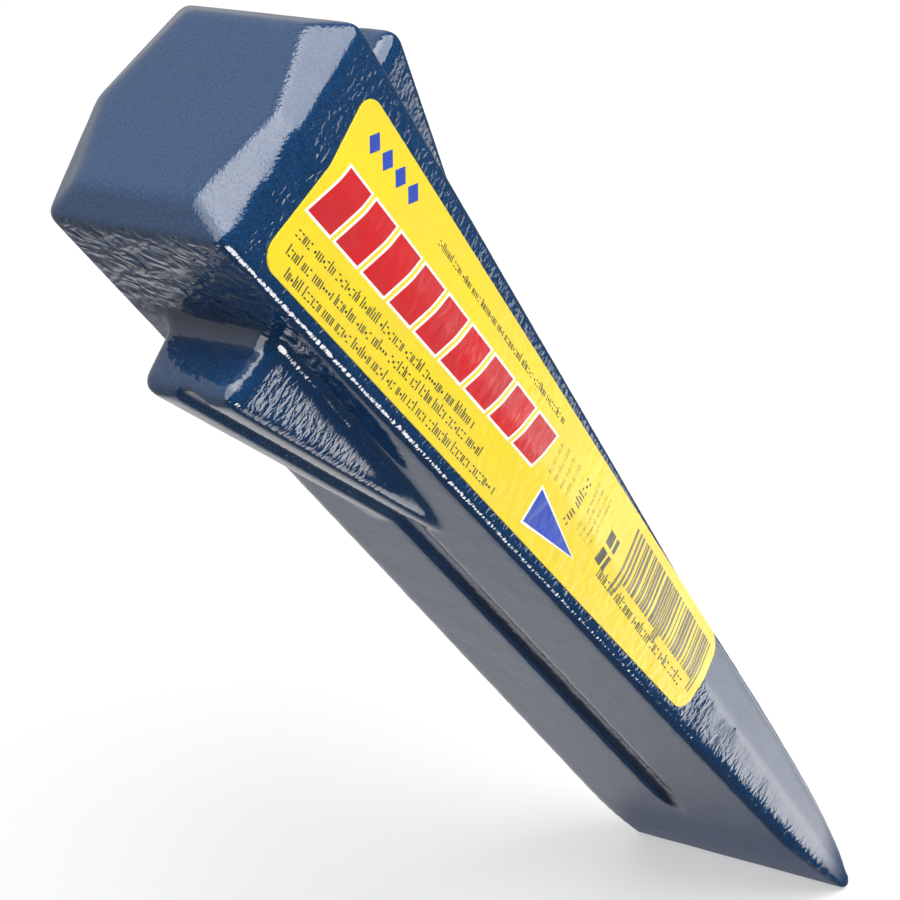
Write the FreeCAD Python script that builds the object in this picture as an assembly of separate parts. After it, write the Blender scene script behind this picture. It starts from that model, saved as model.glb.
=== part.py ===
import FreeCAD, Part
import math
import os

# Wood-splitting wedge: one steel forging with a fin on each cheek, and a printed label.
# Z runs up from the cutting edge to the struck face, X along the cutting edge with the
# labelled side at +X, Y through the thickness. Millimetres, origin mid cutting edge.

# ---- forging, overall
LENGTH = 220.0            # cutting edge to struck face
EDGE_WIDTH = 47.6         # 1 7/8 in cutting edge
SIDE_TAPER = 0.0155       # each side ridge comes in this much per mm of height
SIDE_FALL = 0.125         # each side falls away from its parting ridge, per mm of Y
CHEEK_AT_EDGE = 3.12      # half thickness the straight cheeks would have at Z 0
CHEEK_SLOPE = 0.083       # half thickness gained per mm of height
CORNER_R = 2.3            # long corners between cheeks and sides

# ---- cutting edge, a convex nose blending into the straight cheeks
NOSE_Z = 1.0
NOSE_HALF = 1.3
BELLY_Z = 17.0
BELLY_HALF = 4.25
BLEND_Z = 45.0

# ---- fuller lower cheek on the +Y side
PAD_TOP_Z = 76.0          # where it leaves the straight cheek
PAD_HALF = ((3.4, 6.5), (4.6, 12.5), (5.65, 19.0), (6.9, 31.0), (8.5, 56.0))   # half thickness, Z
PAD_CORNER_R = 1.3

# ---- struck face and the bevels round it
FACE_RIDGE_X = 16.7       # struck face half width at the ridge
FACE_CORNER_X = 11.6      # and at its corners
FACE_HALF_Y = 16.8
BEVEL_RIDGE_X = 20.42     # outer end of the side bevel, on the ridge
BEVEL_DROP = 2.05         # and how far that end lies below the face
CHEEK_BEVEL_RUN = 1.034   # bevel towards the cheeks, mm out per mm down
BEVEL_R = 1.8             # softened bevel borders

# ---- fins
FIN_TOP_Z = {-1: 190.5, 1: 201.5}   # shoulder height of the fin on the -Y and +Y cheek
FIN_PROUD = {-1: 12.9, 1: 13.3}     # its crest above the cheek at the shoulder
FIN_FOOT_Z = 131.0        # where both crests sink into the cheeks
FIN_HALF_BASE = 11.0      # half width at the cheek, at the shoulder
FIN_DRAFT = 0.126         # narrowing per mm away from the cheek
FIN_NARROWING = 0.053     # narrowing per mm down towards the run-out
FIN_EDGE_R = 2.4          # crest and shoulder edges
FIN_ROOT_R = 3.0          # concave blend into the cheek

# ---- groove down each crest and cheek
GROOVE_HALF = 2.9
GROOVE_DEPTH = 1.25
GROOVE_FADE_Z = {-1: 32.0, 1: 74.0}   # full depth ends here
GROOVE_END_Z = {-1: 25.0, 1: 66.0}    # and the groove runs out here

# ---- label
FILM = 0.25
LABEL_TOP_Z = 209.0
LABEL_FOOT_Z = 70.4
LABEL_TOP_Y = (-17.9, 14.6)
LABEL_FOOT_Y = (-6.7, 8.2)
LABEL_TILT = -0.02        # top and foot edges run slightly off square
LABEL_CORNER_R = 3.6

MARGIN = 30.0             # how far the building blocks reach past the forging
TOUCH = 0.05              # an edge this near a plane lies on it


def vec(x, y, z):
    return FreeCAD.Vector(x, y, z)


def cheek_half(z):
    """Half thickness of the straight cheeks at height z."""
    return CHEEK_AT_EDGE + CHEEK_SLOPE * z


def face_of(points):
    return Part.Face(Part.makePolygon(points + [points[0]]))


def prismoid(low, high):
    """Solid between two rings of matching corners whose side walls are flat."""
    faces = [face_of(low), face_of(high)]
    for i in range(len(low)):
        faces.append(face_of([low[i - 1], low[i], high[i], high[i - 1]]))
    return Part.Solid(Part.makeShell(faces))


def level_hexagon(ridge_x, corner_x, half_y, z):
    """Corners of a hexagon in one level, pointed towards +X and -X."""
    return [vec(ridge_x, 0, z), vec(corner_x, half_y, z), vec(-corner_x, half_y, z),
            vec(-ridge_x, 0, z), vec(-corner_x, -half_y, z), vec(corner_x, -half_y, z)]


def side_block(grow):
    """The four drafted side planes, closed well outside the cheeks."""
    lift = grow * math.hypot(1.0, SIDE_FALL)
    reach = cheek_half(LENGTH) + MARGIN
    rings = []
    for z in (-MARGIN, LENGTH + MARGIN):
        ridge = EDGE_WIDTH / 2 - SIDE_TAPER * z + lift
        rings.append(level_hexagon(ridge, ridge - SIDE_FALL * reach, reach, z))
    return prismoid(*rings)


def blank(grow=0.0):
    """Side and straight cheek planes together, with rounded long corners."""
    reach = EDGE_WIDTH
    low, high = (CORNER_R - CHEEK_AT_EDGE) / CHEEK_SLOPE, LENGTH + MARGIN
    slab = prismoid(*[[vec(reach, cheek_half(z) + grow, z), vec(-reach, cheek_half(z) + grow, z),
                       vec(-reach, -cheek_half(z) - grow, z), vec(reach, -cheek_half(z) - grow, z)]
                      for z in (low, high)])
    block = slab.common(side_block(grow))
    corners = [edge for edge in block.Edges
               if edge.BoundBox.ZLength > LENGTH / 2 and edge.BoundBox.YLength > CORNER_R]
    return block.makeFillet(CORNER_R + grow, corners)


def edge_block(grow=0.0):
    """Nose and convex belly of the cutting edge, opening out upwards past the cheeks."""
    points = [(NOSE_HALF + grow, NOSE_Z), (BELLY_HALF + grow, BELLY_Z),
              (cheek_half(BLEND_Z) + grow, BLEND_Z), (EDGE_WIDTH, BLEND_Z + MARGIN),
              (EDGE_WIDTH, LENGTH + 2 * MARGIN)]
    right = [vec(0, y, z) for y, z in points]
    left = [vec(0, -y, z) for y, z in points]
    edges = [Part.Arc(left[0], vec(0, 0, -grow), right[0]).toShape(),
             Part.Arc(*right[:3]).toShape()]
    outline = right[2:] + left[:1:-1]
    for a, b in zip(outline, outline[1:]):
        edges.append(Part.LineSegment(a, b).toShape())
    edges.append(Part.Arc(*left[2::-1]).toShape())
    profile = Part.Face(Part.Wire(edges))
    profile.translate(vec(-EDGE_WIDTH, 0, 0))
    return profile.extrude(vec(2 * EDGE_WIDTH, 0, 0))


def belly_pad():
    """The extra thickness low on the +Y side, with the same rounded long corners."""
    nose, top = vec(0, NOSE_HALF, NOSE_Z), vec(0, cheek_half(PAD_TOP_Z), PAD_TOP_Z)
    inner_top, inner_low = vec(0, 0, PAD_TOP_Z), vec(0, 0, NOSE_Z)
    curve = Part.BSplineCurve()
    curve.interpolate([nose] + [vec(0, y, z) for y, z in PAD_HALF] + [top])
    edges = [curve.toShape()]
    for a, b in ((top, inner_top), (inner_top, inner_low), (inner_low, nose)):
        edges.append(Part.LineSegment(a, b).toShape())
    profile = Part.Face(Part.Wire(edges))
    profile.translate(vec(-EDGE_WIDTH, 0, 0))
    pad = profile.extrude(vec(2 * EDGE_WIDTH, 0, 0)).common(side_block(0.0))
    corners = [edge for edge in pad.Edges
               if edge.BoundBox.ZLength > PAD_TOP_Z / 2 and edge.BoundBox.YLength > CORNER_R]
    return pad.makeFillet(PAD_CORNER_R, corners)


def bevel_block():
    """Struck face with its four side bevels and two cheek bevels, carried downwards."""
    run = (BEVEL_RIDGE_X - FACE_RIDGE_X) / BEVEL_DROP
    slant = (FACE_RIDGE_X - FACE_CORNER_X) / FACE_HALF_Y
    depth = LENGTH / 2
    ridge = FACE_RIDGE_X + run * depth
    half_y = FACE_HALF_Y + CHEEK_BEVEL_RUN * depth
    rings = [
        level_hexagon(FACE_RIDGE_X, FACE_CORNER_X, FACE_HALF_Y, LENGTH),
        level_hexagon(ridge, ridge - slant * half_y, half_y, LENGTH - depth)]
    cap = prismoid(*rings)
    skirt = Part.makeBox(4 * ridge, 4 * ridge, depth + MARGIN,
                         vec(-2 * ridge, -2 * ridge, -MARGIN))
    return cap.fuse(skirt)


def core(grow):
    """Convex wedge body without head or fins, every surface moved out by grow."""
    return blank(grow).common(edge_block(grow))


def headed_core():
    """Convex wedge body with its struck face and softened bevels."""
    body = core(0.0).common(bevel_block())
    lowest = LENGTH - 2 * (cheek_half(LENGTH) - FACE_HALF_Y)
    border = [edge for edge in body.Edges if edge.BoundBox.ZMin > lowest]
    return body.makeFillet(BEVEL_R, border)


def fin_half(y, z, top_z):
    """Half width of a fin at distance y from the centre plane and height z."""
    base = cheek_half(top_z)
    return FIN_HALF_BASE - FIN_DRAFT * (y - base) - FIN_NARROWING * (top_z - z)


def crest(side):
    """Crest height over the centre plane at the shoulder, and its slope down to the foot."""
    top_y = cheek_half(FIN_TOP_Z[side]) + FIN_PROUD[side]
    return top_y, (top_y - cheek_half(FIN_FOOT_Z)) / (FIN_TOP_Z[side] - FIN_FOOT_Z)


def fin(side):
    """One fin, standing on the cheek at side * Y."""
    top_z = FIN_TOP_Z[side]
    crest_y, slope = crest(side)
    buried = CHEEK_AT_EDGE
    foot_z = FIN_FOOT_Z - buried
    outline = [vec(0, side * (cheek_half(FIN_FOOT_Z) - slope * buried), foot_z),
               vec(0, side * crest_y, top_z),
               vec(0, side * buried, top_z),
               vec(0, side * buried, foot_z)]
    slab = face_of(outline)
    slab.translate(vec(-EDGE_WIDTH, 0, 0))
    slab = slab.extrude(vec(2 * EDGE_WIDTH, 0, 0))
    rings = []
    for z in (foot_z - MARGIN, top_z + MARGIN):
        near, far = fin_half(0, z, top_z), fin_half(crest_y + MARGIN, z, top_z)
        y = side * (crest_y + MARGIN)
        rings.append([vec(near, 0, z), vec(far, y, z), vec(-far, y, z), vec(-near, 0, z)])
    block = slab.common(prismoid(*rings))
    proud = cheek_half(top_z) + FIN_EDGE_R
    rounded = [edge for edge in block.Edges
               if max(side * edge.BoundBox.YMin, side * edge.BoundBox.YMax) > proud]
    return block.makeFillet(FIN_EDGE_R, rounded)


def root_edges(body):
    """The concave corners where the fins stand on the cheeks."""
    found = []
    for edge in body.Edges:
        mid = edge.valueAt((edge.FirstParameter + edge.LastParameter) / 2)
        on_cheek = abs(abs(mid.y) - cheek_half(mid.z)) < TOUCH
        within = abs(mid.x) < FIN_HALF_BASE + TOUCH
        beside = FIN_FOOT_Z - CHEEK_AT_EDGE < mid.z < FIN_TOP_Z[1] + TOUCH
        if on_cheek and within and beside:
            found.append(edge)
    return found


def groove(side):
    """Round cutter following one crest, then the cheek, and rising out near the edge."""
    radius = (GROOVE_HALF ** 2 + GROOVE_DEPTH ** 2) / (2 * GROOVE_DEPTH)
    lift = radius - GROOVE_DEPTH
    crest_y, slope = crest(side)
    fade_z, end_z = GROOVE_FADE_Z[side], GROOVE_END_Z[side]
    above = 2 * radius
    stations = [vec(0, side * (crest_y + slope * above + lift), FIN_TOP_Z[side] + above),
                vec(0, side * (cheek_half(FIN_FOOT_Z) + lift), FIN_FOOT_Z),
                vec(0, side * (cheek_half(fade_z) + lift), fade_z),
                vec(0, side * (cheek_half(end_z) + radius), end_z)]
    cutter = None
    for a, b in zip(stations, stations[1:]):
        rod = Part.makeCylinder(radius, (b - a).Length, a, b - a)
        piece = rod.fuse(Part.makeSphere(radius, b))
        cutter = piece if cutter is None else cutter.fuse(piece)
    return cutter


def forging():
    body = headed_core()
    body = body.fuse([belly_pad(), fin(-1), fin(1)]).removeSplitter()
    body = body.makeFillet(FIN_ROOT_R, root_edges(body))
    return body.cut([groove(-1), groove(1)])


def label_outline():
    """Tapered label outline with rounded corners, flat in the YZ plane."""
    corners = [(LABEL_FOOT_Y[0], LABEL_FOOT_Z), (LABEL_FOOT_Y[1], LABEL_FOOT_Z),
               (LABEL_TOP_Y[1], LABEL_TOP_Z), (LABEL_TOP_Y[0], LABEL_TOP_Z)]
    points = [vec(0, y, z + LABEL_TILT * y) for y, z in corners]
    sheet = face_of(points).extrude(vec(EDGE_WIDTH, 0, 0))
    corner_lines = [edge for edge in sheet.Edges if edge.BoundBox.XLength > EDGE_WIDTH / 2]
    return sheet.makeFillet(LABEL_CORNER_R, corner_lines)


def label():
    """Thin printed film wrapped over the +X side."""
    skin = core(FILM).cut(core(0))
    return skin.common(label_outline())


os.makedirs("parts", exist_ok=True)
forging().exportStep("parts/wedge_forging.step")
label().exportStep("parts/side_label.step")
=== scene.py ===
import bpy
import bmesh
import math
import random
from mathutils import Euler, Matrix, Vector, noise
from mathutils.bvhtree import BVHTree


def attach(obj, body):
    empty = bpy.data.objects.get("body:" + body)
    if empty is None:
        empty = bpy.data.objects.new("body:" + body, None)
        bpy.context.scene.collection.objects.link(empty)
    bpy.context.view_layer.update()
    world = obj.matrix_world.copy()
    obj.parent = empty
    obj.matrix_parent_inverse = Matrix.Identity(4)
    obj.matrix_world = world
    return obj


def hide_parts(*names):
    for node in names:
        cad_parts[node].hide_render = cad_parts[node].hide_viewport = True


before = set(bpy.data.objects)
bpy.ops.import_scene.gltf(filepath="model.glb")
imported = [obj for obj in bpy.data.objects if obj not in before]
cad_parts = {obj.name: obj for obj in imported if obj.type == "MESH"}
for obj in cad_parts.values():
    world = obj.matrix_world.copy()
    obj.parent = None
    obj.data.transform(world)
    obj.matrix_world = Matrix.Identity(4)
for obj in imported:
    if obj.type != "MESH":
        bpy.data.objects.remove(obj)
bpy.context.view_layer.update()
MM = 0.001

# ------------------------------------------------------------------ small node helpers


def new_material(name):
    mat = bpy.data.materials.new(name)
    mat.use_nodes = True
    tree = mat.node_tree
    tree.nodes.clear()
    out = tree.nodes.new("ShaderNodeOutputMaterial")
    bsdf = tree.nodes.new("ShaderNodeBsdfPrincipled")
    tree.links.new(bsdf.outputs[0], out.inputs[0])
    return mat, tree, bsdf


def put(tree, socket, value):
    if isinstance(value, bpy.types.NodeSocket):
        tree.links.new(value, socket)
    else:
        socket.default_value = value


def math_node(tree, op, a, b=None):
    n = tree.nodes.new("ShaderNodeMath")
    n.operation = op
    put(tree, n.inputs[0], a)
    if b is not None:
        put(tree, n.inputs[1], b)
    return n.outputs[0]


def size_of(tree, value):
    return math_node(tree, "ABSOLUTE", value)


def times(tree, *factors):
    value = factors[0]
    for factor in factors[1:]:
        value = math_node(tree, "MULTIPLY", value, factor)
    return value


def plus(tree, *terms):
    value = terms[0]
    for term in terms[1:]:
        value = math_node(tree, "ADD", value, term)
    return value


def ramp(tree, value, low, high, to_low=0.0, to_high=1.0, kind="SMOOTHSTEP"):
    n = tree.nodes.new("ShaderNodeMapRange")
    n.interpolation_type = kind
    put(tree, n.inputs["Value"], value)
    n.inputs["From Min"].default_value = low
    n.inputs["From Max"].default_value = high
    n.inputs["To Min"].default_value = to_low
    n.inputs["To Max"].default_value = to_high
    return n.outputs["Result"]


def fade(tree, length, start, end, before=0.0, after=1.0):
    """Ramp of a length between two values in millimetres."""
    return ramp(tree, length, start * MM, end * MM, before, after)


def less_by(tree, mask, rest):
    """1 where the mask is 0, falling to rest where it is 1."""
    return ramp(tree, mask, 0, 1, 1.0, rest)


def position(tree):
    return tree.nodes.new("ShaderNodeTexCoord").outputs["Object"]


def parts_of(tree, vector):
    n = tree.nodes.new("ShaderNodeSeparateXYZ")
    tree.links.new(vector, n.inputs[0])
    return n.outputs["X"], n.outputs["Y"], n.outputs["Z"]


def scaled(tree, vector, x, y, z):
    """Coordinates in cells of x, y, z millimetres."""
    n = tree.nodes.new("ShaderNodeVectorMath")
    n.operation = "MULTIPLY"
    tree.links.new(vector, n.inputs[0])
    n.inputs[1].default_value = (1 / (x * MM), 1 / (y * MM), 1 / (z * MM))
    return n.outputs[0]


def dot_node(tree, vector, axis):
    n = tree.nodes.new("ShaderNodeVectorMath")
    n.operation = "DOT_PRODUCT"
    tree.links.new(vector, n.inputs[0])
    n.inputs[1].default_value = axis
    return n.outputs["Value"]


def noise_node(tree, vector, detail, rough, distortion=0.0):
    n = tree.nodes.new("ShaderNodeTexNoise")
    tree.links.new(vector, n.inputs["Vector"])
    n.inputs["Scale"].default_value = 1.0
    n.inputs["Detail"].default_value = detail
    n.inputs["Roughness"].default_value = rough
    n.inputs["Distortion"].default_value = distortion
    return n.outputs["Fac"]


def mix_colour(tree, fac, a, b):
    n = tree.nodes.new("ShaderNodeMix")
    n.data_type = "RGBA"
    put(tree, n.inputs["Factor"], fac)
    for socket, value in ((n.inputs[6], a), (n.inputs[7], b)):
        put(tree, socket, value if isinstance(value, bpy.types.NodeSocket) else (*value, 1.0))
    return n.outputs[2]


def bump(tree, height, depth, below=None, strength=1.0):
    """Bump of the given depth in millimetres, on top of the one below."""
    n = tree.nodes.new("ShaderNodeBump")
    put(tree, n.inputs["Height"], height)
    n.inputs["Distance"].default_value = depth * MM
    put(tree, n.inputs["Strength"], strength)
    if below is not None:
        tree.links.new(below, n.inputs["Normal"])
    return n.outputs[0]


# ------------------------------------------------------------------ forging mesh, sizes in mm
VOXEL = 0.62
ROUNDED_ABOVE = (-1.0, -1.0, -1.0, 70.0, 85.0, 100.0)   # heights, one smoothing pass above each
WAVE_CELL = 8.0
WAVE_TURN = (0.6, 0.5, 0.4)                 # radians, keeps the cells off the faces' directions
FINER, FINER_SHARE = 2.3, 0.5               # a second, finer wave on top of the first
FINER_SHIFT = Vector((7, 3, 1))
WAVE_DEPTH, WAVE_MEAN, WAVE_SWING = 0.07, 0.6, 0.5
DENTS = (((19.6, -5.0, 216.6), 5.0, 0.40), ((18.2, 9.5, 216.8), 4.0, 0.25),
         ((18.6, -13.5, 215.8), 4.0, 0.22))     # centre, reach and depth, on the head bevel


def mesh_object(name, mesh):
    obj = bpy.data.objects.new(name, mesh)
    bpy.context.scene.collection.objects.link(obj)
    return obj


def object_from(name, bm):
    mesh = bpy.data.meshes.new(name)
    bm.to_mesh(mesh)
    bm.free()
    return mesh_object(name, mesh)


def welded(node):
    bm = bmesh.new()
    bm.from_mesh(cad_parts[node].data)
    bmesh.ops.remove_doubles(bm, verts=bm.verts, dist=0.001 * MM)
    return bm


def even_skin(cad):
    """Dense mesh of even cells that lies on the CAD surface."""
    surface = BVHTree.FromBMesh(cad)
    base = object_from("forging_base", cad)
    mod = base.modifiers.new("even_cells", "REMESH")
    mod.mode = "VOXEL"
    mod.voxel_size = VOXEL * MM
    mod.adaptivity = 0.0
    deps = bpy.context.evaluated_depsgraph_get()
    dense = bpy.data.meshes.new_from_object(base.evaluated_get(deps))
    bpy.data.objects.remove(base)
    bm = bmesh.new()
    bm.from_mesh(dense)
    for v in bm.verts:
        v.co = surface.find_nearest(v.co)[0]
    return bm


def wave_depth(place):
    p = Euler(WAVE_TURN).to_matrix() @ place / (WAVE_CELL * MM)
    wave = noise.noise(p) + FINER_SHARE * noise.noise(p * FINER + FINER_SHIFT)
    return WAVE_DEPTH * max(0.0, WAVE_MEAN + WAVE_SWING * wave)


def dent_depth(place):
    total = 0.0
    for centre, reach, depth in DENTS:
        away = (place / MM - Vector(centre)).length / reach
        if away < 1.0:
            total += depth * (1.0 - away * away) ** 2
    return total


def forging_piece():
    """Dense skin over the forging: edges softened, faces waved as forged steel is."""
    bm = even_skin(welded("wedge_forging"))
    for height in ROUNDED_ABOVE:
        bmesh.ops.smooth_vert(bm, verts=[v for v in bm.verts if v.co.z > height * MM], factor=0.5,
                              use_axis_x=True, use_axis_y=True, use_axis_z=True)
    bm.normal_update()
    for v in bm.verts:
        v.co -= v.normal * (wave_depth(v.co) + dent_depth(v.co)) * MM
    obj = object_from("hammered_forging", bm)
    for p in obj.data.polygons:
        p.use_smooth = True
    return obj


# ------------------------------------------------------------------ enamel, sizes in mm
CHEEK_AT_EDGE, CHEEK_SLOPE = 3.12, 0.083    # half thickness of the body at Z 0, and its growth
NAVY, NAVY_FLAKE = (0.0036, 0.025, 0.080), (0.0115, 0.067, 0.178)
NAVY_PITTED, NAVY_CLOUDED = (0.003, 0.018, 0.058), (0.005, 0.03, 0.09)
# painted shade for the bottom of the cheeks' groove
GROOVE_PAINTED_SHADE = (0.003, 0.010, 0.028)
WRINKLE_CELL, BLOB_CELL = (2.0, 2.2, 1.15), (0.95, 0.95, 0.8)
GRAIN_CELL, PEEL_CELL, CLOUD_CELL = (0.22, 0.22, 0.22), (0.5, 0.5, 0.5), (14, 14, 20)
STREAK_LONG, STREAK_CROSS = Vector((0.8, 0, -0.6)), Vector((0.6, 0, 0.8))
STREAK_CELL = (3.4, 3.0, 3.0)
WRINKLE_DEPTH, STREAK_DEPTH, PEEL_DEPTH, GRAIN_DEPTH = 0.13, 0.8, 0.09, 0.006
# each pair below is where a mask starts and where it is full
HEAD_Z = (213, 217)
TIP_Y, TIP_Z = (-0.2, 1.6), (80, 66)
GROOVE_X = (2.7, 2.3)
GROOVE_FOOT_Z, GROOVE_TOP_Z, GROOVE_DARKER_Z = (24, 29), (190, 188), (118, 104)
SIDE_FULL_Z = (60, 72)
CORNER_IN, CORNER_FULL_Z = (0.4, 1.15), (108, 135)
ROOT_LOW, ROOT_HIGH = (-0.9, -0.3), (4.4, 3.0)
ROOT_FOOT_Z, ROOT_TOP_Z = (120, 128), (182, 172)
STREAK_Z = (190, 198)


class Spot:
    """A point of the forging as nodes: its place, which way it faces, the half thickness there."""

    def __init__(self, tree):
        self.place = position(tree)
        x, self.y, self.z = parts_of(tree, self.place)
        self.off_x, self.off_y = size_of(tree, x), size_of(tree, self.y)
        normal = tree.nodes.new("ShaderNodeNewGeometry").outputs["Normal"]
        self.facing_cheek = size_of(tree, parts_of(tree, normal)[1])
        self.thick = plus(tree, times(tree, self.z, CHEEK_SLOPE), CHEEK_AT_EDGE * MM)
        self.head = fade(tree, self.z, *HEAD_Z)
        self.cheek = ramp(tree, self.facing_cheek, 0.80, 0.96)


def in_groove(tree, spot):
    """1 on the bottom of a cheek's groove, less where it climbs the fin."""
    return times(tree, fade(tree, spot.off_x, *GROOVE_X), fade(tree, spot.z, *GROOVE_FOOT_Z),
                 fade(tree, spot.z, *GROOVE_TOP_Z), fade(tree, spot.z, *GROOVE_DARKER_Z, 0.35),
                 ramp(tree, spot.facing_cheek, 0.25, 0.5))


def on_worn_tip(tree, spot):
    """1 on the lower half of each side beyond the parting ridge, which is worn smooth."""
    return times(tree, fade(tree, spot.y, *TIP_Y), fade(tree, spot.z, *TIP_Z))


def in_fin_root(tree, spot):
    """1 in the hollow where a fin stands on its cheek."""
    rise = math_node(tree, "SUBTRACT", spot.off_y, spot.thick)
    return times(tree, fade(tree, rise, *ROOT_LOW), fade(tree, rise, *ROOT_HIGH),
                 fade(tree, spot.z, *ROOT_FOOT_Z), fade(tree, spot.z, *ROOT_TOP_Z, 0.6))


def side_strength(tree, spot):
    """Low on the sides the wrinkles only stay strong near the long corners, which run smooth."""
    aside = math_node(tree, "DIVIDE", spot.off_y, spot.thick)
    beside = math_node(tree, "MAXIMUM", ramp(tree, aside, 0.2, 0.85, 0.10, 0.68),
                       fade(tree, spot.z, *SIDE_FULL_Z))
    inboard = math_node(tree, "SUBTRACT", spot.thick, spot.off_y)
    corner = math_node(tree, "MAXIMUM", fade(tree, inboard, *CORNER_IN, 0.06),
                       fade(tree, spot.z, *CORNER_FULL_Z))
    return times(tree, beside, corner)


def wrinkle_strength(tree, spot, groove):
    """Full on the sides; weak on the head, the flat cheeks, the tip and the fins' roots."""
    flat = math_node(tree, "SUBTRACT", spot.cheek, groove)
    return times(tree, less_by(tree, spot.head, 0.05), less_by(tree, flat, 0.12),
                 less_by(tree, on_worn_tip(tree, spot), 0.10), side_strength(tree, spot),
                 less_by(tree, in_fin_root(tree, spot), 0.12))


def wrinkled(tree, spot):
    """Wrinkles that run across the wedge, with smaller blobs on them."""
    wrinkle = noise_node(tree, scaled(tree, spot.place, *WRINKLE_CELL), 1.5, 0.5, 0.5)
    blobs = noise_node(tree, scaled(tree, spot.place, *BLOB_CELL), 1.0, 0.5, 0.3)
    return plus(tree, wrinkle, times(tree, blobs, 0.4))


def streaked(tree, spot):
    """Noise drawn out slantwise over the cheeks."""
    n = tree.nodes.new("ShaderNodeCombineXYZ")
    for socket, axis, cell in zip(n.inputs, (STREAK_LONG, Vector((0, 1, 0)), STREAK_CROSS), STREAK_CELL):
        tree.links.new(dot_node(tree, spot.place, axis / (cell * MM)), socket)
    return noise_node(tree, n.outputs[0], 1.0, 0.5, 1.0)


def navy(tree, spot, grain, peel, groove):
    """Fine bright flake, darker in the pits of the peel and in patches, with painted shade darkening the
    groove.
    """
    cloud = noise_node(tree, scaled(tree, spot.place, *CLOUD_CELL), 3.0, 0.6)
    colour = mix_colour(tree, ramp(tree, grain, 0.38, 0.66), NAVY, NAVY_FLAKE)
    colour = mix_colour(tree, ramp(tree, peel, 0.35, 0.65, 0.0, 0.38), colour, NAVY_PITTED)
    colour = mix_colour(tree, ramp(tree, cloud, 0.35, 0.7, 0.0, 0.3), colour, NAVY_CLOUDED)
    # painted shade: the groove is darkened in colour, as if in shade
    return mix_colour(tree, ramp(tree, groove, 0, 1, 0.0, 0.7), colour, GROOVE_PAINTED_SHADE)


def enamel():
    """Navy hammered enamel: fine flake, wrinkles running across the wedge, orange peel."""
    mat, tree, bsdf = new_material("hammered_blue_enamel")
    spot = Spot(tree)
    groove = in_groove(tree, spot)
    grain = noise_node(tree, scaled(tree, spot.place, *GRAIN_CELL), 1.5, 0.7)
    peel = noise_node(tree, scaled(tree, spot.place, *PEEL_CELL), 1.5, 0.6)
    put(tree, bsdf.inputs["Base Color"], navy(tree, spot, grain, peel, groove))
    put(tree, bsdf.inputs["Roughness"], ramp(tree, grain, 0.3, 0.7, 0.42, 0.55))
    bsdf.inputs["Metallic"].default_value = 0.0
    bsdf.inputs["Specular IOR Level"].default_value = 0.0
    bsdf.inputs["Coat Weight"].default_value = 1.0
    bsdf.inputs["Coat Roughness"].default_value = 0.04
    bsdf.inputs["Coat IOR"].default_value = 1.5
    wrinkles = bump(tree, wrinkled(tree, spot), WRINKLE_DEPTH,
                    strength=wrinkle_strength(tree, spot, groove))
    # the cheeks' streaks are faint, and strong only beside the head
    lively = times(tree, spot.cheek, fade(tree, spot.z, *STREAK_Z, 0.05))
    streaks = bump(tree, streaked(tree, spot), STREAK_DEPTH, below=wrinkles, strength=lively)
    pitted = bump(tree, peel, PEEL_DEPTH, below=streaks, strength=ramp(tree, spot.head, 0, 1, 0.06, 1.0))
    normal = bump(tree, grain, GRAIN_DEPTH, below=pitted)
    put(tree, bsdf.inputs["Normal"], normal)
    put(tree, bsdf.inputs["Coat Normal"], normal)
    return mat


forging = forging_piece()
forging.data.materials.append(enamel())
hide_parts("wedge_forging")
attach(forging, "root")

# ------------------------------------------------------------------ label, sizes in mm
SIDE_AT_EDGE, SIDE_TAPER, SIDE_FALL = 23.8, 0.0155, 0.125    # the labelled side
RIDGE_ROUND = 1.0           # the film bridges the parting ridge softly
FILM_CORNERS = ((-6.7, 70.53), (8.2, 70.24), (14.6, 208.71), (-17.9, 209.36))     # y, z
FILM_CORNER_R = 3.4
ARC_STEPS = 6
FILM_LOW, FILM_TOP = -0.12, 0.20
INK_LOW, WHITE_TOP, INK_TOP = 0.16, 0.222, 0.24
BEND_LINES = (-8, -4, -2, -1.2, -0.6, -0.2, 0.2, 0.6, 1.2, 2, 4, 8)      # y of cuts, closest at the ridge
WHITE_EDGE = 0.5            # white edge round the red blocks and the triangle
SHORTEST_MITRE = 0.7        # keeps that edge from running out at sharp corners


def side_x(y, z, lift):
    """X of the labelled side at (y, z), lifted off it."""
    return SIDE_AT_EDGE - SIDE_TAPER * z - SIDE_FALL * math.hypot(y, RIDGE_ROUND) + lift


def sheet(name, outlines, low, top):
    """Thin closed shapes wrapped over the labelled side, one per outline of (y, z) points."""
    bm = bmesh.new()
    for outline in outlines:
        bm.faces.new([bm.verts.new((0.0, y, z)) for y, z in outline])
    bmesh.ops.triangulate(bm, faces=bm.faces)
    for y in BEND_LINES:
        bmesh.ops.bisect_plane(bm, geom=bm.verts[:] + bm.edges[:] + bm.faces[:],
                               plane_co=(0, y, 0), plane_no=(0, 1, 0))
    lower = bm.faces[:]
    raised = bmesh.ops.extrude_face_region(bm, geom=lower, use_keep_orig=True)["geom"]
    upper = {v for v in raised if isinstance(v, bmesh.types.BMVert)}
    for v in bm.verts:
        y, z = v.co.y, v.co.z
        v.co = Vector((side_x(y, z, top if v in upper else low), y, z)) * MM
    bmesh.ops.recalc_face_normals(bm, faces=bm.faces)
    return object_from(name, bm)


def rounded(corners, radius):
    """Outline with each convex corner replaced by a short arc."""
    points = []
    for i, here in enumerate(corners):
        here = Vector(here)
        back = (Vector(corners[i - 1]) - here).normalized()
        ahead = (Vector(corners[(i + 1) % len(corners)]) - here).normalized()
        half = math.acos(max(-1.0, min(1.0, back.dot(ahead)))) / 2
        centre = here + (back + ahead).normalized() * radius / math.sin(half)
        start = here + back * radius / math.tan(half) - centre
        end = here + ahead * radius / math.tan(half) - centre
        for k in range(ARC_STEPS + 1):
            arm = start.lerp(end, k / ARC_STEPS).normalized() * radius
            points.append(tuple(centre + arm))
    return points


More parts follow.
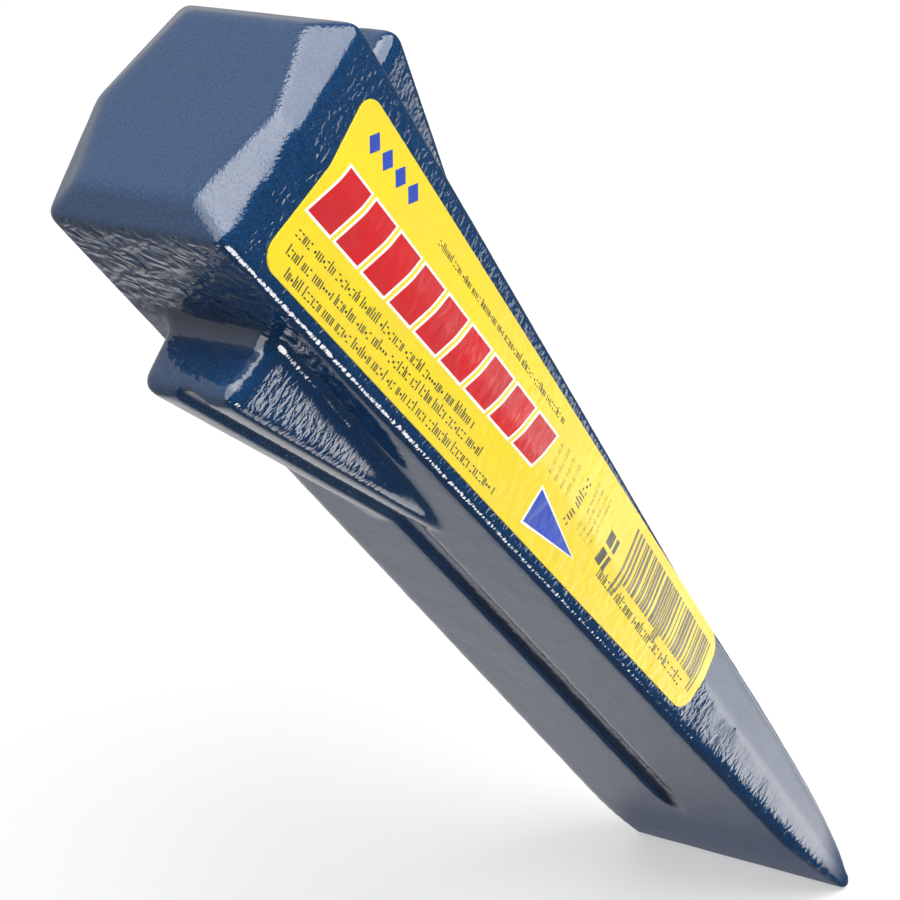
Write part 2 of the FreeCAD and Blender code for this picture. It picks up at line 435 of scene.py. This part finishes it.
def grown(outline, by):
    """Outline moved outwards on every edge."""
    area = sum(a[0] * b[1] - b[0] * a[1] for a, b in zip(outline, outline[1:] + outline[:1]))
    if area < 0:
        outline = outline[::-1]
    points = []
    for i, here in enumerate(outline):
        here = Vector(here)
        before = (here - Vector(outline[i - 1])).normalized()
        after = (Vector(outline[(i + 1) % len(outline)]) - here).normalized()
        n1, n2 = Vector((before.y, -before.x)), Vector((after.y, -after.x))
        mitre = (n1 + n2).normalized()
        points.append(tuple(here + mitre * by / max(SHORTEST_MITRE, mitre.dot(n1))))
    return points


class Line:
    """A row of print from start to end on the label, with its up direction."""

    def __init__(self, start, end):
        self.start = Vector(start)
        self.length = (Vector(end) - self.start).length
        self.along = (Vector(end) - self.start).normalized()
        self.up = Vector((-self.along.y, self.along.x))

    def box(self, s0, s1, t0, t1):
        corners = ((s0, t0), (s1, t0), (s1, t1), (s0, t1))
        return [tuple(self.start + self.along * s + self.up * t) for s, t in corners]


# sizes of small print, as shares of its height
PEN, LOW_TICK, WORD_GAP, MARK_GAP = 0.13, 0.70, 0.32, 0.2
PAIR_WIDE, STEPS_WIDE, DOT_WIDE = 0.36, 0.34, 0.24
TALL_ODDS = 0.3             # how often a tick is full height


def greeked(start, end, height, seed):
    """A row of plain ticks, dashes and dots grouped like words, standing in for small print."""
    rng = random.Random(seed)
    line = Line(start, end)
    pen, low = PEN * height, LOW_TICK * height
    widths = {"tick": pen, "pair": PAIR_WIDE * height, "steps": STEPS_WIDE * height, "dot": DOT_WIDE * height}
    marks, s, left = [], 0.0, rng.randint(4, 9)
    while s + height < line.length:
        if left == 0:
            s += WORD_GAP * height
            left = rng.randint(3, 9)
            continue
        left -= 1
        kind = rng.choice(("tick", "tick", "pair", "steps", "dot"))
        wide = widths[kind]
        if kind in ("tick", "pair"):
            marks.append(line.box(s, s + pen, 0.0, height if rng.random() < TALL_ODDS else low))
        if kind == "pair":
            marks.append(line.box(s + wide - pen, s + wide, 0.0, low))
        if kind == "steps":
            marks.append(line.box(s, s + wide * 0.8, 0.0, pen))
            marks.append(line.box(s + wide * 0.2, s + wide, low - pen, low))
        if kind == "dot":
            marks.append(line.box(s, s + wide, 0.3 * low, 0.3 * low + wide))
        s += wide + MARK_GAP * height
    return marks


TITLE_Z = (206.3, 134.8)
TITLE_FOOT, TITLE_HEAD = (-7.2, -2.0), (2.8, 5.2)      # y at the first and the last block
TITLE_BLOCKS = 9
TITLE_GAP = 0.2             # share of each step left between blocks
TITLE_SLANT = 2.4           # the head of each block lags its foot


def title_shapes():
    """Plain slanted blocks that get smaller down the label."""
    shapes = []
    for i in range(TITLE_BLOCKS):
        points = []
        for s, t in ((0, 0), (1, 0), (1, 1), (0, 1)):
            share = (i + s * (1 - TITLE_GAP)) / TITLE_BLOCKS
            low = TITLE_FOOT[0] + (TITLE_FOOT[1] - TITLE_FOOT[0]) * share
            high = TITLE_HEAD[0] + (TITLE_HEAD[1] - TITLE_HEAD[0]) * share
            z = TITLE_Z[0] + (TITLE_Z[1] - TITLE_Z[0]) * share - TITLE_SLANT * (t - 0.5)
            points.append((low + (high - low) * t, z))
        shapes.append(points)
    return shapes


DIAMONDS = 4
DIAMOND_TALL, DIAMOND_WIDE = 4.0, 0.8     # height, and share of each step
DIAMONDS_FROM, DIAMONDS_TO = (7.2, 204.8), (7.8, 188.4)


def badge_shapes():
    """A row of plain blue diamonds."""
    line = Line(DIAMONDS_FROM, DIAMONDS_TO)
    step, middle = line.length / DIAMONDS, DIAMOND_TALL / 2
    shapes = []
    for k in range(DIAMONDS):
        centre, half = step * (k + 0.5), step * DIAMOND_WIDE / 2
        shapes.append([tuple(line.start + line.along * s + line.up * t)
                       for s, t in ((centre - half, middle), (centre, 0.0),
                                    (centre + half, middle), (centre, DIAMOND_TALL))])
    return shapes


BARS_Z = (105.0, 72.6)
BARS_FOOT, GUARD_FOOT = -1.7, -3.6
BARS_HEAD = (8.0, 6.2)
BAR_MODULE = 0.28
STRIPE_SEED = 11
END_GUARD, MIDDLE_GUARD = 0.05, 0.03     # shares of the run where the stripes reach lower


def stripes():
    """Made-up stripes across the foot of the label."""
    rng = random.Random(STRIPE_SEED)
    shapes, z = [], BARS_Z[0]
    while z > BARS_Z[1]:
        wide = BAR_MODULE * rng.choice((1, 1, 1, 2, 2, 3))
        share = (BARS_Z[0] - z) / (BARS_Z[0] - BARS_Z[1])
        head = BARS_HEAD[0] + (BARS_HEAD[1] - BARS_HEAD[0]) * share
        guard = min(share, 1 - share) < END_GUARD or abs(share - 0.5) < MIDDLE_GUARD
        foot = GUARD_FOOT if guard else BARS_FOOT
        shapes.append([(foot, z), (head, z), (head, z - wide), (foot, z - wide)])
        z -= wide + BAR_MODULE * rng.choice((1, 1, 2, 2, 3))
    return shapes


DARK_ROWS = (      # start, end, height and seed; all but the fifth run down the label
    ((-11.2, 206.6), (-6.9, 152.0), 1.75, 21), ((-14.1, 206.0), (-8.7, 147.0), 1.75, 22),
    ((-16.6, 203.6), (-10.7, 139.5), 1.75, 23), ((8.0, 180.6), (7.6, 133.6), 1.35, 24),
    ((-3.6, 122.6), (6.8, 121.6), 2.0, 31), ((-4.6, 109.5), (-4.4, 74.0), 1.9, 61))
FAINT_ROWS = tuple(((-0.4, 132.6 - 2.1 * k), (6.6, 132.4 - 2.1 * k), 1.0, 41 + k) for k in range(4)) + \
    tuple(((-2.6, 119.6 - 1.5 * k), (7.6, 119.2 - 1.5 * k), 0.85, 51 + k) for k in range(4))
CODE_BLOCKS = (((-3.2, 108.8), (-0.6, 108.6)), ((0.3, 108.5), (2.9, 108.3)))
CODE_BARS = ((0, 0.9), (1.5, 3.4))          # foot and head of the two bars in each block
MARK = [(-9.2, 131.6), (-3.2, 132.2), (-6.1, 117.0)]    # plain triangle


def code_shapes():
    """Two pairs of plain bars over the stripes."""
    shapes = []
    for start, end in CODE_BLOCKS:
        line = Line(start, end)
        shapes += [line.box(0, line.length, foot, head) for foot, head in CODE_BARS]
    return shapes


def rows(places):
    return [mark for place in places for mark in greeked(*place)]


BLOTCH_CELL, SPECK_CELL = (9, 9, 12), (0.5, 0.5, 0.5)
RIPPLE_CELL, PIT_CELL = (2.6, 3.0, 2.0), (1.1, 1.1, 0.9)
RIPPLE_DEPTH, PIT_DEPTH = 0.05, 0.012
DUSTY = 0.93                # share of the colour that the specks keep
YELLOW = ((0.84, 0.66, 0.024), (0.80, 0.615, 0.022))
INK_COLOURS = {             # main colour, and the one it drifts to
    "white": ((0.92, 0.9, 0.86), (0.86, 0.83, 0.78)),
    "red": ((0.62, 0.016, 0.02), (0.5, 0.012, 0.018)),
    "blue": ((0.03, 0.08, 0.5), (0.02, 0.06, 0.4)),
    "dark": ((0.045, 0.045, 0.03), (0.07, 0.065, 0.04)),
    "bars": ((0.10, 0.085, 0.06), (0.14, 0.12, 0.08)),
    "faint": ((0.42, 0.33, 0.05), (0.5, 0.4, 0.06))}


def printed(name, colour, mottle):
    """Glossy vinyl print whose colour drifts a little and whose face follows the enamel."""
    mat, tree, bsdf = new_material(name)
    place = position(tree)
    blotch = noise_node(tree, scaled(tree, place, *BLOTCH_CELL), 3.0, 0.6)
    speck = noise_node(tree, scaled(tree, place, *SPECK_CELL), 2.0, 0.6)
    body = mix_colour(tree, ramp(tree, blotch, 0.3, 0.7), colour, mottle)
    dusty = tuple(c * DUSTY for c in mottle)
    put(tree, bsdf.inputs["Base Color"], mix_colour(tree, ramp(tree, speck, 0.55, 0.8), body, dusty))
    put(tree, bsdf.inputs["Roughness"], ramp(tree, blotch, 0.3, 0.7, 0.16, 0.24))
    bsdf.inputs["IOR"].default_value = 1.5
    ripple = noise_node(tree, scaled(tree, place, *RIPPLE_CELL), 1.5, 0.5, 0.3)
    pits = noise_node(tree, scaled(tree, place, *PIT_CELL), 1.0, 0.5)
    rippled = bump(tree, ripple, RIPPLE_DEPTH)
    put(tree, bsdf.inputs["Normal"], bump(tree, pits, PIT_DEPTH, below=rippled))
    return mat


def label_pieces():
    title = title_shapes()
    edged = [grown(shape, WHITE_EDGE) for shape in title + [MARK]]
    inks = (("white", edged, WHITE_TOP), ("red", title, INK_TOP),
            ("blue", badge_shapes() + [MARK], INK_TOP),
            ("dark", rows(DARK_ROWS) + code_shapes(), INK_TOP),
            ("bars", stripes(), INK_TOP), ("faint", rows(FAINT_ROWS), INK_TOP))
    film = sheet("label_film", [rounded(FILM_CORNERS, FILM_CORNER_R)], FILM_LOW, FILM_TOP)
    film.data.materials.append(printed("label_yellow", *YELLOW))
    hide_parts("side_label")
    pieces = [film]
    for ink, shapes, top in inks:
        piece = sheet("print_" + ink, shapes, INK_LOW, top)
        piece.data.materials.append(printed("ink_" + ink, *INK_COLOURS[ink]))
        pieces.append(piece)
    for piece in pieces:
        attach(piece, "root")


label_pieces()

# ------------------------------------------------------------------ mirrored surroundings


def facing(tree, direction, axis):
    """Cosine between a direction and the axis."""
    return dot_node(tree, direction, Vector(axis).normalized())


def lobe(tree, direction, axis, inner, outer, strength):
    """Light of the given strength within inner degrees of axis, fading out at outer."""
    low, high = math.cos(math.radians(outer)), math.cos(math.radians(inner))
    return ramp(tree, facing(tree, direction, axis), low, high, 0.0, strength)


def aim(azimuth, elevation):
    a, e = math.radians(azimuth), math.radians(elevation)
    return math.cos(e) * math.cos(a), math.cos(e) * math.sin(a), math.sin(e)


STRIP_AZIMUTH = 55
WORLD_DIM = 0.12            # what is mirrored where no lamp or paper is
WORLD_TINT = (1.0, 0.985, 0.955)


def softbox(tree, d, east, up):
    """Long overhead softbox, running from low behind the labelled side over the top."""
    across = size_of(tree, facing(tree, d, aim(STRIP_AZIMUTH + 90, 0)))
    along = facing(tree, d, aim(STRIP_AZIMUTH, 0))
    inside = times(tree, ramp(tree, across, 0.60, 0.53), ramp(tree, up, 0.10, 0.16),
                   ramp(tree, east, -0.42, -0.28))
    return times(tree, inside, ramp(tree, along, -0.1, 0.24, 4.8, 9.6),
                 ramp(tree, along, 0.30, 0.60, 1.0, 0.68))


def far_wall(tree, east, up):
    """Pale wall on the far side, brighter higher up."""
    return times(tree, ramp(tree, east, -0.28, -0.50), ramp(tree, up, -0.70, 0.62, 0.19, 1.08, "LINEAR"),
                 ramp(tree, up, -0.74, -0.66))


def shaded_paper(tree, d, up):
    """Paper under the wedge, dull in its own shadow."""
    return times(tree, ramp(tree, facing(tree, d, (-1, -0.1, 0)), 0.40, 0.52),
                 ramp(tree, up, -0.66, -0.72), ramp(tree, up, -0.87, -0.78, 0.2, 0.68))


def lit_paper(tree, d):
    """Paper that catches the lamps: behind the labelled side, and straight below."""
    behind = times(tree, lobe(tree, d, aim(50, -70), 25.7, 27.8, 1.0),
                   ramp(tree, facing(tree, d, aim(15, -50)), 0.90, 1.0, 2.4, 5.9))
    return plus(tree, behind, lobe(tree, d, aim(-70, -80), 14, 19, 3.2))


def surroundings():
    """World hidden from camera and diffuse rays, so it only shows mirrored in glossy faces."""
    world = bpy.data.worlds.new("studio")
    bpy.context.scene.world = world
    world.use_nodes = True
    tree = world.node_tree
    tree.nodes.clear()
    out = tree.nodes.new("ShaderNodeOutputWorld")
    back = tree.nodes.new("ShaderNodeBackground")
    tree.links.new(back.outputs[0], out.inputs[0])
    d = tree.nodes.new("ShaderNodeTexCoord").outputs["Generated"]
    east, up = facing(tree, d, (1, 0, 0)), facing(tree, d, (0, 0, 1))
    front_lamp = lobe(tree, d, aim(-58, -36), 13, 15, 18.0)
    put(tree, back.inputs["Strength"], plus(tree, softbox(tree, d, east, up), far_wall(tree, east, up),
                                            shaded_paper(tree, d, up), lit_paper(tree, d),
                                            front_lamp, WORLD_DIM))
    back.inputs["Color"].default_value = (*WORLD_TINT, 1)
    world.cycles_visibility.diffuse = False
    world.cycles_visibility.camera = False


# ------------------------------------------------------------------ lamps and paper, in metres
LAMPS_AIM_AT = Vector((0, 0, 0.1))
FLOOR_RADIUS, DOME_RADIUS = 3.0, 2.9
PAPER, BACKDROP = (0.50, 0.50, 0.503), (0.9, 0.9, 0.9)
# painted shadow: a dark card round the cutting edge, seen only in reflections, stands in for the floor's
# contact shadow
CARD_RADIUS = 0.08
CARD_SHADE = (0.22, 0.23, 0.27)
EDGE_HALF = 0.024           # half the cutting edge
CARD_END = 2.0              # the card fades this much faster past the edge's ends
CARD_FADE = (1, 22)         # distances from the edge in mm, from dark to clear


def soft_light(name, azimuth, elevation, distance, size, power):
    data = bpy.data.lights.new(name, "AREA")
    data.shape = "SQUARE"
    data.size = size
    data.energy = power
    obj = bpy.data.objects.new(name, data)
    bpy.context.scene.collection.objects.link(obj)
    towards = Vector(aim(azimuth, elevation))
    obj.location = LAMPS_AIM_AT + towards * distance
    obj.rotation_euler = towards.to_track_quat("Z", "Y").to_euler()
    obj.visible_glossy = False
    obj.visible_camera = False


def paper_material(name, colour):
    """Matt paper that also glows in its own colour."""
    mat, tree, bsdf = new_material(name)
    bsdf.inputs["Base Color"].default_value = (*colour, 1)
    bsdf.inputs["Roughness"].default_value = 0.9
    bsdf.inputs["Specular IOR Level"].default_value = 0.0
    bsdf.inputs["Emission Color"].default_value = (*colour, 1)
    bsdf.inputs["Emission Strength"].default_value = 1.0
    return mat, tree, bsdf


def disc(name, radius, segments):
    bm = bmesh.new()
    bmesh.ops.create_circle(bm, cap_ends=True, segments=segments, radius=radius)
    return object_from(name, bm)


def floor_disc():
    obj = disc("floor", FLOOR_RADIUS, 96)
    mat, tree, bsdf = paper_material("floor_paper", PAPER)
    reach = tree.nodes.new("ShaderNodeVectorMath")
    reach.operation = "LENGTH"
    tree.links.new(position(tree), reach.inputs[0])
    # paper beyond the lamps' reach keeps its white
    put(tree, bsdf.inputs["Emission Strength"], ramp(tree, reach.outputs["Value"], 0.35, 1.5, 0.95, 1.95))
    obj.data.materials.append(mat)
    obj.visible_glossy = False


def backdrop_dome():
    bm = bmesh.new()
    bmesh.ops.create_uvsphere(bm, u_segments=64, v_segments=32, radius=DOME_RADIUS)
    obj = object_from("backdrop", bm)
    obj.data.materials.append(paper_material("backdrop_paper", BACKDROP)[0])
    obj.visible_glossy = False
    obj.visible_diffuse = False
    obj.visible_shadow = False
    obj.visible_transmission = False


def painted_contact_shadow():
    """Painted shadow: a dark card close round the cutting edge, seen only as the enamel mirrors it, in place
    of the floor's contact shadow there.
    """
    obj = disc("painted_contact_shadow", CARD_RADIUS, 48)
    mat = bpy.data.materials.new("contact_shade")
    mat.use_nodes = True
    tree = mat.node_tree
    tree.nodes.clear()
    out = tree.nodes.new("ShaderNodeOutputMaterial")
    mixer = tree.nodes.new("ShaderNodeMixShader")
    clear = tree.nodes.new("ShaderNodeBsdfTransparent")
    shade = tree.nodes.new("ShaderNodeEmission")
    shade.inputs["Color"].default_value = (*CARD_SHADE, 1)
    x, y = parts_of(tree, position(tree))[:2]
    beyond = math_node(tree, "SUBTRACT", size_of(tree, x), EDGE_HALF)
    past = times(tree, math_node(tree, "MAXIMUM", beyond, 0.0), CARD_END)
    away = math_node(tree, "SQRT", plus(tree, math_node(tree, "POWER", past, 2.0),
                                        math_node(tree, "POWER", y, 2.0)))
    put(tree, mixer.inputs[0], fade(tree, away, *CARD_FADE))
    tree.links.new(shade.outputs[0], mixer.inputs[1])
    tree.links.new(clear.outputs[0], mixer.inputs[2])
    tree.links.new(mixer.outputs[0], out.inputs[0])
    obj.data.materials.append(mat)
    obj.visible_camera = False
    obj.visible_diffuse = False
    obj.visible_shadow = False
    obj.visible_transmission = False


surroundings()
soft_light("key", azimuth=18, elevation=58, distance=1.2, size=0.5, power=13.2)
soft_light("overhead", azimuth=40, elevation=75, distance=1.6, size=1.8, power=27.0)
floor_disc()
backdrop_dome()
# painted contact shadow, shown only in the enamel's reflections
painted_contact_shadow()

# ------------------------------------------------------------------ camera
CAMERA_AT = (346.35, -219.83, 530.18)       # mm
CAMERA_AZIMUTH, CAMERA_ELEVATION, CAMERA_ROLL = -32.506, 44.153, -36.204    # degrees
CAMERA_LENS = 140.4


def camera():
    data = bpy.data.cameras.new("camera")
    data.sensor_width = 36.0
    data.lens = CAMERA_LENS
    data.clip_start = 0.01
    cam = bpy.data.objects.new("camera", data)
    bpy.context.scene.collection.objects.link(cam)
    level = Vector(aim(CAMERA_AZIMUTH, CAMERA_ELEVATION)).to_track_quat("Z", "Y").to_matrix()
    turn = level @ Matrix.Rotation(math.radians(CAMERA_ROLL), 3, "Z")
    cam.matrix_world = Matrix.Translation(Vector(CAMERA_AT) * MM) @ turn.to_4x4()
    bpy.context.scene.camera = cam


camera()
bpy.context.scene.view_settings.view_transform = "Standard"
